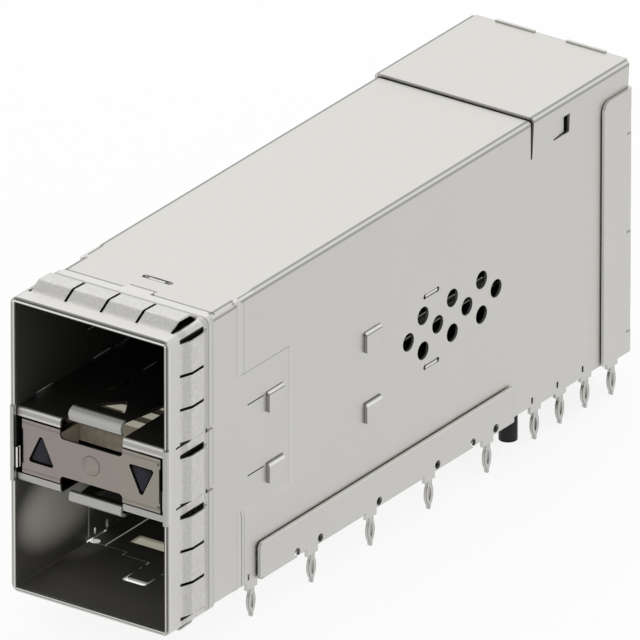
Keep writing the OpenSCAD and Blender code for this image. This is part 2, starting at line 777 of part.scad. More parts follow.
// A shelf whose port lies above it; the tabs fold down in the direction of fold
module shelf(fold) {
    root_y = tongue_y + tongue_len;
    // Front lip and floor in one bent section, open around the tongue
    difference() {
        along_x(-shelf_side, shelf_side)
            bent_sheet(rounded([[shelf_y, -lip_h], [shelf_y, 0], [shelf_back, 0]], sharp_r), sheet);
        block([-tongue_gap_w / 2, -1, -2], [tongue_gap_w / 2, root_y, 1]);
    }
    // Tongue, with its crest behind a slanted lip and a triangular hole for the module's latch
    difference() {
        along_x(-tongue_w / 2, tongue_w / 2)
            bent_sheet(rounded([[tongue_y + 0.35, -0.2], [tongue_y + 0.1, tongue_rise - 0.3],
                [tongue_y + 0.85, tongue_rise], [root_y - 0.6, 0], [root_y + 1, 0]], 0.45), sheet);
        along_z(-1, 2) polygon(rounded_loop([[-latch_w / 2, latch_y], [latch_w / 2, latch_y],
            [0, latch_y + latch_len]], 0.15));
    }
    // Tabs through the side walls, folded along the outside
    for (i = [0, 1]) both_sides() {
        out = (i == 0 ? ring_out : body_out) + nest + sheet;
        along_y(tab_ys[i], tab_ys[i] + tab_len)
            bent_sheet(rounded(fold > 0
                ? [[shelf_side - 0.3, 0], [out, 0], [out, -tab_h - sheet]]
                : [[shelf_side - 0.3, -sheet], [out, -sheet], [out, tab_h]], sharp_r),
                fold > 0 ? sheet : -sheet);
    }
    both_sides() block([shelf_side - 0.3, flush_tab_y + tab_slack, -sheet],
        [body_out, flush_tab_y + flush_tab_len - tab_slack, 0]);
}

module upper_shelf() {
    color([0.8, 0.8, 0.78]) translate([0, 0, upper_z]) shelf(1);
}

module lower_shelf() {
    color([0.8, 0.8, 0.78]) translate([0, 0, lower_z]) mirror([0, 0, 1]) shelf(-1);
}

// ---- Front plate ---------------------------------------------------------------------------

plate_y = 0.24;                             // front face of the plate
plate_low = lower_z + lip_h + plate_gap;
plate_high = upper_z - lip_h - plate_gap;
plate_w = port_w - 2 * plate_inset;
window_x = plate_w / 2 - window_inset;
window_shift = 0.12;                        // how far each window's point is moved up or down
notch_w = tongue_gap_w;                     // width of the notches above and below the waist
waist = [mid_z - 1.62, mid_z + 1.52];       // lower and upper edge of the waist

// A triangle that points up on the left and down on the right
module plate_window(s) {
    middle = mid_z - s * window_shift;
    polygon(rounded_loop([
        [s * window_x - window_w / 2, middle + s * window_h / 2],
        [s * window_x + window_w / 2, middle + s * window_h / 2],
        [s * window_x, middle - s * window_h / 2]], 0.2));
}

module front_plate() {
    leg = 8;
    foot = 1.6;
    leg_h = 3.2;
    boss_r = 0.8;
    color([0.55, 0.53, 0.5]) {
        along_y(plate_y, plate_y + plate_t) difference() {
            translate([-plate_w / 2, plate_low]) square([plate_w, plate_high - plate_low]);
            rounded_box(notch_w / 2, waist[1], plate_high + 1, 0.35);
            rounded_box(notch_w / 2, plate_low - 1, waist[0], 0.35);
            for (s = [-1, 1]) plate_window(s);
        }
        // Raised ring in the middle of the plate
        translate([0, plate_y + 0.04, mid_z]) rotate([90, 0, 0])
            rotate_extrude() translate([boss_r - 0.12, 0]) circle(0.12, $fn = 24);
        // Legs folded back, with feet that lie against the walls
        both_sides() along_z(mid_z - leg_h / 2, mid_z + leg_h / 2)
            bent_sheet(rounded([[plate_w / 2 - 0.5, plate_y], [plate_w / 2, plate_y],
                [plate_w / 2, leg - 0.6], [shelf_side, leg], [shelf_side, leg + foot]], 0.22), -plate_t);
    }
}

// ---- Light pipes ---------------------------------------------------------------------------

pipe_head_y = plate_y + plate_t + 0.06;     // front face of each pipe's head, behind the plate's window
pipe_head_len = 3;
pipe_head_h = 3;
pipe_head_w = 2;                            // from the pipe's middle to the head's inner side

// A square bar from the window's head back through the bay and down to the board
module light_pipe() {
    tail_y = block_back + 1.2;
    half = pipe_w / 2;
    head_low = mid_z - pipe_head_h / 2;
    color([0.82, 0.84, 0.86]) {
        along_x(pipe_x - half, pipe_x + half)
            bent_sheet(rounded([[pipe_head_y + 1, mid_z + half], [tail_y + pipe_w, mid_z + half],
                [tail_y + pipe_w, board_z + 0.25]], 2.2), pipe_w);
        difference() {
            block([pipe_x - pipe_head_w, pipe_head_y, head_low],
                [pipe_x + half, pipe_head_y + pipe_head_len, head_low + pipe_head_h]);
            translate([pipe_x - half, pipe_head_y + 1.6, head_low - 1]) rotate([0, 0, 45])
                cube(pipe_head_h + 2);
        }
    }
}

bridge_len = 4.6;

// Moulded bridge that spaces the two pipes, under the upper port's floor
module light_pipe_bridge() {
    half = pipe_x - pipe_w / 2 - nest;
    front = pipe_head_y + pipe_head_len + nest;
    back = front + bridge_len;
    top = upper_z - sheet - 0.35;
    rib = 0.9;
    color([0.86, 0.86, 0.74]) difference() {
        block([-half, front, mid_z], [half, back, top]);
        // Two pockets that open upwards and leave a cross of ribs
        both_sides() for (y = [front + rib, (front + back + rib) / 2])
            block([rib / 2, y, mid_z + rib], [half - rib, y + (back - front - 3 * rib) / 2, top + 1]);
    }
}

// ---- Insulator film ------------------------------------------------------------------------

// Film under the front of the floor plate, seen through its window
module insulator_film() {
    film_t = 0.12;
    margin = 0.45;
    color([0.86, 0.86, 0.74])
        block([-margin - floor_window[0], floor_window[1] - margin, -sheet - film_t],
            [floor_window[0] + margin, floor_window[2] + margin, -sheet]);
}

// ---- Connector -----------------------------------------------------------------------------

module connector_housing() {
    color([0.09, 0.09, 0.1])
    difference() {
        union() {
            block([-housing_side, block_y, board_z], [housing_side, block_back, inner_h - 0.1]);
            for (z = slot_zs) {
                block([-card_w / 2 - 1, block_y - nose_len, z - nose_h / 2],
                    [card_w / 2 + 1, block_y + eps, z + nose_h / 2]);
            }
            both_sides() translate([peg_x, block_y + peg_back, board_z - peg_len])
                cylinder(r = peg_r, h = peg_len + eps);
        }
        // Rebates above the board along both sides
        both_sides() block([peg_x + peg_r + 0.15, block_y - 1, board_z - 1],
            [housing_side + 1, block_back + 1, skirt_bottom + 0.1]);
        // Cavity for the wafers, open at the back and the bottom
        block([-cavity_x, block_y + front_wall, board_z - eps], [cavity_x, block_back + 1, cavity_top]);
        for (z = slot_zs) {
            block([-card_w / 2, block_y - nose_len - 1, z - card_h / 2],
                [card_w / 2, block_y, z + card_h / 2]);
            for (i = [0:wafer_count - 1])
                block([contact_x(i) - groove[0], block_y - nose_len + groove[2], z - groove[1]],
                    [contact_x(i) + groove[0], block_y + front_wall + 1, z + groove[1]]);
        }
        // Channels for the light pipes
        both_sides() block([pipe_x - pipe_w / 2 - 0.05, block_y - 1, mid_z - pipe_w / 2 - 0.05],
            [housing_side + 1, block_back + 1, mid_z + pipe_w / 2 + 0.05]);
        // Pockets for the flaps of the shell's windows
        both_sides() block([body_in - flap_depth - 0.05, shell_len - window_y - 0.2, window_z - 0.1],
            [body_in + 1, shell_len - window_y + window_len, window_z + window_tall + 0.1]);
    }
}

function contact_x(i) = (i - (wafer_count - 1) / 2) * contact_pitch;

// Path of a terminal's outer edge: row 0 is the lower port's lower contact, row 3 the upper one's
function lead_tail_y(row) = wafer_y + lead_first + row * lead_step;
function lead_path(row) =
    let (
        z = lead_rows[row][0],
        s = lead_rows[row][1],
        half = lead_w / 2,
        tip = block_y - nose_len + lead_tip[0],
        level = z + s * lead_level + half,
        y = lead_tail_y(row) + half
    )
    [[tip, z + s * lead_tip[1] + half], [tip + lead_touch[0], z + s * lead_touch[1] + half],
        [block_y - 0.4, level], [y - lead_bend, level], [y, level - lead_bend], [y, board_z - 0.1]];

// One stamped terminal in the (y, z) plane
module lead(row) {
    bent_sheet(lead_path(row), lead_w);
    translate([lead_tail_y(row), 0]) {
        translate([-tail_w / 2, board_z - tail_len + tail_w / 2]) square([tail_w, tail_len]);
        translate([0, board_z - tail_len + tail_w / 2]) circle(tail_w / 2);
        translate([0, board_z - tail_len / 2]) lens(tail_eye[0], tail_eye[1]);
    }
}

module lead_frame(i) {
    color([0.8, 0.7, 0.42])
    translate([contact_x(i) - lead_t / 2, 0, 0]) along_x(0, lead_t)
        for (row = [0:3]) lead(row);
}

// A moulded wafer with a groove for each terminal, open on its right side
module contact_wafer(i) {
    back = lead_tail_y(3) + lead_w / 2 + wafer_rear;
    base = board_z + organiser_h + nest;
    top = cavity_top - 0.05;
    color([0.13, 0.13, 0.14])
    translate([contact_x(i), 0, 0]) difference() {
        along_x(-wafer_t / 2, wafer_t / 2)
            polygon([[wafer_y, base], [back, base], [back, top - wafer_chamfer],
                [back - wafer_chamfer, top], [wafer_y, top]]);
        along_x(-lead_t / 2, wafer_t) for (row = [0:3]) bent_sheet(lead_path(row), lead_w);
    }
}

// Plate at board level with a hole for each tail
module tail_organiser() {
    color([0.16, 0.16, 0.17])
    difference() {
        block([nest - cavity_x, wafer_y, board_z],
            [cavity_x - nest, block_back - nest, board_z + organiser_h]);
        for (i = [0:wafer_count - 1], row = [0:3])
            let (x = lead_t / 2 + tail_gap, y = lead_w / 2 + tail_gap)
                block([contact_x(i) - x, lead_tail_y(row) - y, board_z - 1],
                    [contact_x(i) + x, lead_tail_y(row) + y, 2]);
    }
}

// ---- Pieces --------------------------------------------------------------------------------

placed() cage_shell();
placed() emi_gasket();
placed() bottom_plate();
placed() rear_cover();
placed() upper_shelf();
placed() lower_shelf();
placed() front_plate();
placed() mirror([1, 0, 0]) light_pipe();  // light_pipe_left
placed() light_pipe();  // light_pipe_right
placed() light_pipe_bridge();
placed() insulator_film();
placed() connector_housing();
placed() tail_organiser();
for (i = [1:wafer_count]) {
    placed() contact_wafer(i - 1);
    placed() lead_frame(i - 1);
}
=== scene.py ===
"""Finishes, lenses, stage and camera for a stacked two-port transceiver cage.

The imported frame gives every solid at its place, in metres, with +Y running back from the ports
and the tips of the press-fit pins at z = 0. Each operator below dresses or makes one group of
pieces. Finishes read Object coordinates and measure in millimetres.
"""

import math

import bpy
from bpy.props import FloatProperty, FloatVectorProperty, PointerProperty
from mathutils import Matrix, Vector


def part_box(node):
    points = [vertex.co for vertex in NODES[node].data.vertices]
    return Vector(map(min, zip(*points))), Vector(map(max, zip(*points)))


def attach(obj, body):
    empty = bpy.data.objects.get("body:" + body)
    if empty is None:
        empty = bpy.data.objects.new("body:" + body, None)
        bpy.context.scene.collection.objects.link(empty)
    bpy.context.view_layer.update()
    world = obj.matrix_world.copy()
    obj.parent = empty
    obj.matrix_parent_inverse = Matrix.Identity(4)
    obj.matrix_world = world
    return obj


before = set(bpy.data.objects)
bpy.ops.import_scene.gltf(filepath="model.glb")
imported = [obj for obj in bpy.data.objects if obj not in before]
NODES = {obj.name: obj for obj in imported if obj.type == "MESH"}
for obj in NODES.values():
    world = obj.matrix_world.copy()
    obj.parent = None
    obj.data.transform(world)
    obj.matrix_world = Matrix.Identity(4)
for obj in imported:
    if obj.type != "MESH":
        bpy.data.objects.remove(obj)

bl_info = {
    "name": "Transceiver Cage Finishes",
    "version": (1, 1, 0),
    "blender": (4, 5, 0),
    "location": "View3D > Sidebar > Cage",
    "description": "Finishes, lenses, stage and camera for a stacked transceiver cage",
    "category": "Object",
}

MM = 0.001


def corners(node):
    """Lowest and highest corner of a node in millimetres."""
    return [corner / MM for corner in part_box(node)]


SHELL_LOW, SHELL_HIGH = corners("cage_shell")
PLATE_LOW, PLATE_HIGH = corners("front_plate")
PIPE_LOW, PIPE_HIGH = corners("light_pipe_right")
GASKET_HIGH = corners("emi_gasket")[1]
HOUSING_HIGH = corners("connector_housing")[1]
FLOOR_PLATE_HIGH = corners("bottom_plate")[1]

SHEET = 0.25                            # thickness of the cage's sheet
FOLD = 0.32                             # outside radius of the body's folds
RING_FOLD = 0.45                        # outside radius of the front ring's folds

# Heights above the lower port's floor, which lies at FLOOR in the frame
FLANGE_TOP = 3                          # of the floor plate's side flanges
FLOOR = FLOOR_PLATE_HIGH.z - FLANGE_TOP
CAP_TOP = SHELL_HIGH.z - FLOOR
TOP = CAP_TOP - SHEET
RING_TOP = TOP - 0.1
MIDDLE = (PLATE_LOW.z + PLATE_HIGH.z) / 2 - FLOOR
UPPER_FLOOR = MIDDLE + 3.14
LOWER_CEILING = MIDDLE - 3.14
PATCH_LOW, PATCH_HIGH = 6.4, 18.0       # edges of the ring-level patch on each wall

# Distances above or below the middle
BAY_RISE = 3.05                         # of the bay between the shelves' floors
UPPER_LIP, LOWER_LIP = (2.6, 2.95), (2, 2.95)   # flat fronts of the shelves' lips
LIP_FOLD = (2.9, 3)                     # where the lower lip's front turns into its fold
TAB_ROLL = (2.98, 3.2)                  # rolls of the shelves' tabs on the walls
TAB_LINE = 2.93                         # painted shade line beside each roll

# Distances to either side of the cage's middle
WALL = HOUSING_HIGH.x + 0.35            # outside of the long walls
RING_WALL = WALL - 0.1                  # outside of the front ring
CAP_WALL = WALL + 0.18                  # outside of the rear cap
PORT_SIDE = 6.9                         # what lies further out in a port is its wall
SHELF_SIDE = 7.05                       # ends of the shelves' floors
HOOK_SIDE = 6.97                        # where the gasket's hooks round the ring's edge start
TONGUE = 2.5                            # half the width of the latch tongues
GASKET_TAB = 1.28                       # half the width of the tab at the gasket's rear
TOP_TAB = 0.75                          # half the width of the tab in the top's slot

# Depths behind the front rim
LENGTH = SHELL_HIGH.y - SHELL_LOW.y
CAP_START = LENGTH - 13.1               # front edge of the raised rear cap
COVER_START = LENGTH - 3.4              # front edge of the rear cover's side flanges
RING_END = 9.4                          # where the walls and the top step out to their full size
RAMP = 0.4                              # half the length of that step
STEP_EDGE = 9.9                         # its edge, with a painted highlight inside the lower port
PATCH_END = 16.3                        # rear end of the ring-level patch
GASKET_END = GASKET_HIGH.y - SHELL_LOW.y - 0.85     # rear edge of the gasket, short of its tab
UNDER_FINGERS = (1.2, 5.4)              # where the ring lies under the gasket's fingers
FINGERS = (1.5, 4.4)                    # where they bow outwards
FINGER_SLOPE = (1.75, 2.55)             # where they rise from the band at the front
FINGER_FOOT = (4.75, 5.25)              # where they come back to the ring
FINGER_END = 5.36                       # painted shade line behind their feet
TAB_SLOTS = ((2.9, 5), (10.5, 12.7))    # slots for the upper shelf's tabs
SHELF_MARKS = ((7.3, 8.8), (11.2, 12.9))    # painted highlights on the shelves' floors
WALL_TABS = (13.35, 26.35)              # fronts of the shelves' tabs on the long walls
LIP_DEPTH = 0.5                         # of the shelves' folded fronts
TONGUE_DEPTH = 1.25                     # of the tongues' slanted lips
PLATE_LEGS = (0.45, 0.6)                # where the front plate's front turns into its legs
PIPE_FRONT = PIPE_LOW.y - SHELL_LOW.y + 1.6     # rear end of the painted shade on the light pipes' fronts
PIPE_FLANK = (0.6, 3.6)                 # what shows of their inner sides in the bay, painted in shade

# Painted sheens inside the ports: each an oval's middle and its two half lengths
WALL_SHEEN = ((6.1, 4.9), (6.6, 4.2))   # in depth and height
FLOOR_SHEEN = ((9.2, PORT_SIDE), (4, 2.4))      # in depth and to the side

# The front plate with its windows and their lenses, measured from the plate's middle
SPOT_R = 0.8                            # radius of the round spot in its middle
BEND_RISE = 1.98                        # up or down to the bends along its edges
DOT = (6.3, 1.8)                        # to the right and up or down to the two dots
NOTCH_SIDE, NOTCH_RISE = 6.36, 1.45     # start and half height of the notches in its ends
WINDOW_SHIFT = 0.12                     # how far each window's point is moved up or down
LENS_X = 4.7                            # to the side to each window's middle
LENS_W, LENS_H = 2.02, 2.14             # width and height of a lens, before its corners are cut
LENS_LIFT = 0.085                       # from a window's middle to its lens's, away from the point
LENS_FRONT, LENS_DEPTH = 0.36, 0.12     # depth of the lens's flat front, and its thickness
LENS_CORNER = 0.3                       # radius of its corners
LENS_CORE = ((LENS_X, 0.3), (0.9, 1.2))     # middle and half lengths of its lighter core, inside painted shade at its edge
LENS_STEPS = ((0.04, 0.03), (0.06, 0.01))   # inset and rise of each ring of the crowned front

# The stage, in metres
PAPER = 6
KEY_PLACE = (-0.42, 0.62, 0.75)
KEY_SIZE = 0.9
SENSOR = 18                             # width of the camera's sensor in millimetres

BLACK = (0, 0, 0, 1)
WHITE = (1, 1, 1, 1)


def nodes_named(start):
    """The frame's nodes whose names begin with start, such as the wafers."""
    return [NODES[name] for name in sorted(NODES) if name.startswith(start)]


# ---- Shader nodes ---------------------------------------------------------------------------


class Value:
    """A shader socket that Python's operators can work on."""

    def __init__(self, finish, socket):
        self.finish = finish
        self.socket = socket

    def math(self, operation, first, second=0.0):
        return self.finish.node("ShaderNodeMath", {0: first, 1: second}, operation=operation)

    def __add__(self, other):
        return self.math("ADD", self, other)

    def __sub__(self, other):
        return self.math("SUBTRACT", self, other)

    def __rsub__(self, other):
        return self.math("SUBTRACT", other, self)

    def __mul__(self, other):
        return self.math("MULTIPLY", self, other)

    def __lt__(self, other):
        return self.math("LESS_THAN", self, other)

    def __gt__(self, other):
        return self.math("GREATER_THAN", self, other)

    def __or__(self, other):
        return self.math("MAXIMUM", self, other)

    def __abs__(self):
        return self.math("ABSOLUTE", self)

    def __pow__(self, other):
        return self.math("POWER", self, other)

    __radd__ = __add__
    __rmul__ = __mul__
    __ror__ = __or__

    def ramp(self, low, high):
        """0 below low and 1 above high, with a soft step between them."""
        inputs = {"Value": self, "From Min": low, "From Max": high}
        return self.finish.node("ShaderNodeMapRange", inputs, interpolation_type="SMOOTHSTEP")

    def between(self, low, high, soft=0.02):
        """1 between low and high, with edges as wide as twice soft."""
        return self.ramp(low - soft, low + soft) * (1 - self.ramp(high - soft, high + soft))

    def among(self, ranges, soft):
        """1 in any of the ranges, each given as its low and high end."""
        mask = 0
        for low, high in ranges:
            mask = mask | self.between(low, high, soft)
        return mask

    def line(self, place, half):
        """1 at place, falling off to 0 at half on either side."""
        return 1 - abs(self - place).ramp(0.4 * half, half)


class Finish:
    """A material with its Principled shader, under construction."""

    def __init__(self, name, metallic=0.0):
        self.material = bpy.data.materials.new(name)
        self.material.use_nodes = True
        self.tree = self.material.node_tree
        self.shader = self.tree.nodes["Principled BSDF"]
        self.set(Metallic=metallic)
        place = self.node("ShaderNodeTexCoord", {}, output="Object")
        inputs = {0: place, "Scale": 1 / MM}
        self.place = self.node("ShaderNodeVectorMath", inputs, operation="SCALE")
        x, y, z = (self.node("ShaderNodeSeparateXYZ", {0: self.place}, output=i) for i in range(3))
        self.x = x
        self.side = abs(x)
        self.depth = y - SHELL_LOW.y
        self.height = z - FLOOR

    def node(self, kind, inputs, output=0, **settings):
        """Adds a node: settings first, then values or links for its sockets."""
        made = self.tree.nodes.new(kind)
        for name, value in settings.items():
            setattr(made, name, value)
        for name, value in inputs.items():
            if isinstance(value, Value):
                self.tree.links.new(value.socket, made.inputs[name])
            else:
                made.inputs[name].default_value = value
        return Value(self, made.outputs[output])

    def set(self, **sockets):
        """Sets or links the shader's own sockets, with _ for a space in a name."""
        for name, value in sockets.items():
            socket = self.shader.inputs[name.replace("_", " ")]
            if isinstance(value, Value):
                self.tree.links.new(value.socket, socket)
            else:
                socket.default_value = value

    def mix(self, factor, low, high, blend="MIX"):
        """A colour between low and high, or another blend of the two."""
        # Inputs 6 and 7 and output 2 of the mix node are its colours
        inputs = {"Factor": factor, 6: low, 7: high}
        return self.node("ShaderNodeMix", inputs, output=2, data_type="RGBA", blend_type=blend)

    def paint(self, mask, colour, factor=1.0):
        """Lays a colour times factor over the tone where the mask is 1."""
        self.tone = self.mix(mask, self.tone, shade(colour, factor))

    def multiply(self, mask, factor):
        """Multiplies the tone by factor where the mask is 1."""
        self.tone = self.mix(mask, self.tone, shade((factor,) * 3), "MULTIPLY")

    def noise(self, size, detail=2.0, stretch=(1, 1, 1)):
        """Noise whose features measure about size millimetres, stretched along the axes."""
        scale = tuple(1 / (size * s) for s in stretch)
        place = self.node("ShaderNodeVectorMath", {0: self.place, 1: scale}, operation="MULTIPLY")
        inputs = {"Vector": place, "Scale": 1.0, "Detail": detail, "Roughness": 0.55}
        return self.node("ShaderNodeTexNoise", inputs)

    def near_edges(self, radius):
        """1 on sharp edges, falling off within a radius in millimetres."""
        rounded = self.node("ShaderNodeBevel", {"Radius": radius * MM}, samples=8)
        flat = self.node("ShaderNodeNewGeometry", {}, output="Normal")
        inputs = {0: rounded, 1: flat}
        same = self.node("ShaderNodeVectorMath", inputs, output="Value", operation="DOT_PRODUCT")
        return 1 - same.ramp(0.8, 0.995)

    def bump(self, height, distance, strength=1.0):
        """Feeds a height in millimetres times distance to the shader's normal."""
        inputs = {"Height": height, "Distance": distance * MM, "Strength": strength}
        self.set(Normal=self.node("ShaderNodeBump", inputs))


def shade(colour, factor=1.0):
    """A colour with alpha, brighter or darker by a factor."""
    return (*(channel * factor for channel in colour), 1.0)


def oval(first, second, middle, halves=(1, 1)):
    """0 in an oval's middle and 1 on its edge, growing with the square of the distance."""
    first = (first - middle[0]) * (1 / halves[0])
    second = (second - middle[1]) * (1 / halves[1])
    return first * first + second * second


def dress(pieces, finish):
    """Puts a finish on every material slot of the pieces."""
    for piece in pieces:
        for slot in piece.material_slots:
            slot.material = finish.material
        if not piece.material_slots:
            piece.data.materials.append(finish.material)


# ---- Finishes of the sheet ------------------------------------------------------------------


def rolled_sheet(name, colour, roughness, grain_size=0.05, edges=0.8):
    """Plated sheet with the fine grain of rolling along the cage and a faint unevenness."""
    finish = Finish(name, metallic=1.0)
    finish.grain = finish.noise(grain_size, stretch=(1, 40, 1))
    cloud = finish.noise(6.0, detail=3.0)
    finish.tone = finish.mix(cloud.ramp(0.3, 0.7), shade(colour, 0.99), shade(colour, 1.01))
    finish.rough = roughness + (finish.grain - 0.5) * 0.06 + (cloud - 0.5) * 0.05
    # Painted shade on cut edges and on the narrow pins below the floor, darkest on the pins' edges
    edge = finish.near_edges(0.1)
    pins = finish.height < -0.6
    finish.multiply(pins, 0.88)
    finish.multiply(edge * pins, 0.2)
    finish.multiply(edge, edges)
    return finish


def finish_sheet(finish, pieces):
    """Connects the sheet's tone, roughness and grain, and dresses the pieces with it."""
    finish.set(Base_Color=finish.tone, Roughness=finish.rough)
    finish.bump(finish.grain, 0.0006)
    dress(pieces, finish)


def fold_along(finish, wall, top, radius, front, back, bright):
    """Paints a highlight along the long bend between a wall and the top, and shade lines beside it.
    """
    near = (finish.side > wall - radius - 0.12) * (finish.height > top - radius - 0.12)
    near = near * finish.depth.between(front, back)
    across = (finish.side - (wall - radius)) - (finish.height - (top - radius))
    finish.paint(near * (1 - abs(across).ramp(0.2 * radius, 0.6 * radius)), bright)
    finish.multiply(near * (across + 0.9 * radius).line(0, 0.19), 0.48)
    finish.multiply(near * (across - 0.9 * radius).line(0, 0.17), 0.6)


def inside(finish, wall, low, high, start):
    """1 inside the walls, between two heights and from a depth on, and 0 elsewhere."""
    level = finish.height.between(low, high, 0.01)
    return (finish.side < wall) * level * finish.depth.ramp(start, start + 0.15)


# ---- Settings -------------------------------------------------------------------------------


def colour_property(name, description, default):
    return FloatVectorProperty(
        name=name, description=description, subtype="COLOR", size=3, min=0, max=1, default=default)


class CageColours(bpy.types.PropertyGroup):
    """Colours of the finishes"""

    sheet: colour_property("Sheet", "Colour of the plated sheet", (0.60, 0.592, 0.565))
    # Painted highlight along the long folds of the body, the cap and the ring
    fold_highlight: colour_property("Fold", "Colour of burnished folds", (0.66, 0.65, 0.62))
    # Painted highlight on edges, rolls, marks and corners
    bright: colour_property("Cut edge", "Colour of bright cut edges", (0.78, 0.77, 0.74))
    rim: colour_property("Rim", "Colour of the rim's cut edge", (0.59, 0.58, 0.556))
    # Painted sheen on the lower port's walls and floor
    glow: colour_property("Port sheen", "Colour of the lower port's lit walls", (0.85, 0.82, 0.73))
    # Painted shade inside the ports and on the shelves' floors
    inner: colour_property("Inside", "Colour of the upper port's inside", (0.05, 0.048, 0.042))
    # Painted shade inside the lower port
    lower: colour_property("Lower", "Colour of the lower port's inside", (0.12, 0.116, 0.104))
    strip: colour_property("Gasket", "Colour of the spring strip", (0.62, 0.612, 0.585))
    plate: colour_property("Plate", "Colour of the front plate", (0.285, 0.25, 0.234))
    plate_tint: colour_property("Plate tint", "Colour of its patches", (0.285, 0.268, 0.232))
    plastic: colour_property("Plastic", "Colour of the connector's plastic", (0.010, 0.010, 0.011))
    cream: colour_property("Cream", "Colour of the pipes' bridge and the film", (0.40, 0.39, 0.31))
    # Painted shade: the cream bridge and the pipes' sides where they lie in the bay's shade
    shaded_cream: colour_property("Umber", "Colour of the bridge's front in the bay", (0.53, 0.47, 0.36))
    pipe: colour_property("Light pipe", "Colour of the light pipes", (0.08, 0.078, 0.066))
    lens: colour_property("Lens", "Colour of the light pipes' lenses", (0.010, 0.009, 0.018))
    terminal: colour_property("Terminal", "Colour of the terminals", (0.78, 0.6, 0.3))


class StageSettings(bpy.types.PropertyGroup):
    """Camera and light"""

    azimuth: FloatProperty(
        name="Azimuth", description="Turn of the camera from the ports' side towards +X",
        subtype="ANGLE", unit="ROTATION", default=math.radians(34.86))
    elevation: FloatProperty(
        name="Elevation", description="Height of the camera above the horizon",
        subtype="ANGLE", unit="ROTATION", default=math.radians(25.305))
    lens: FloatProperty(
        name="Lens", description="Focal length of the camera in millimetres",
        min=50, max=850, default=850)
    width: FloatProperty(
        name="Width", description="Width of the view at the cage", unit="LENGTH", default=0.04953)
    target: FloatVectorProperty(
        name="Target", description="Point in the middle of the view", subtype="TRANSLATION",
        unit="LENGTH", default=(-0.0001, -0.00012, 0.01553))
    world: FloatProperty(
        name="World", description="Strength of the even light from all round", default=1.0)
    key: FloatProperty(
        name="Key", description="Power of the lamp behind and above the cage",
        unit="POWER", default=0.75)


# ---- Operators ------------------------------------------------------------------------------


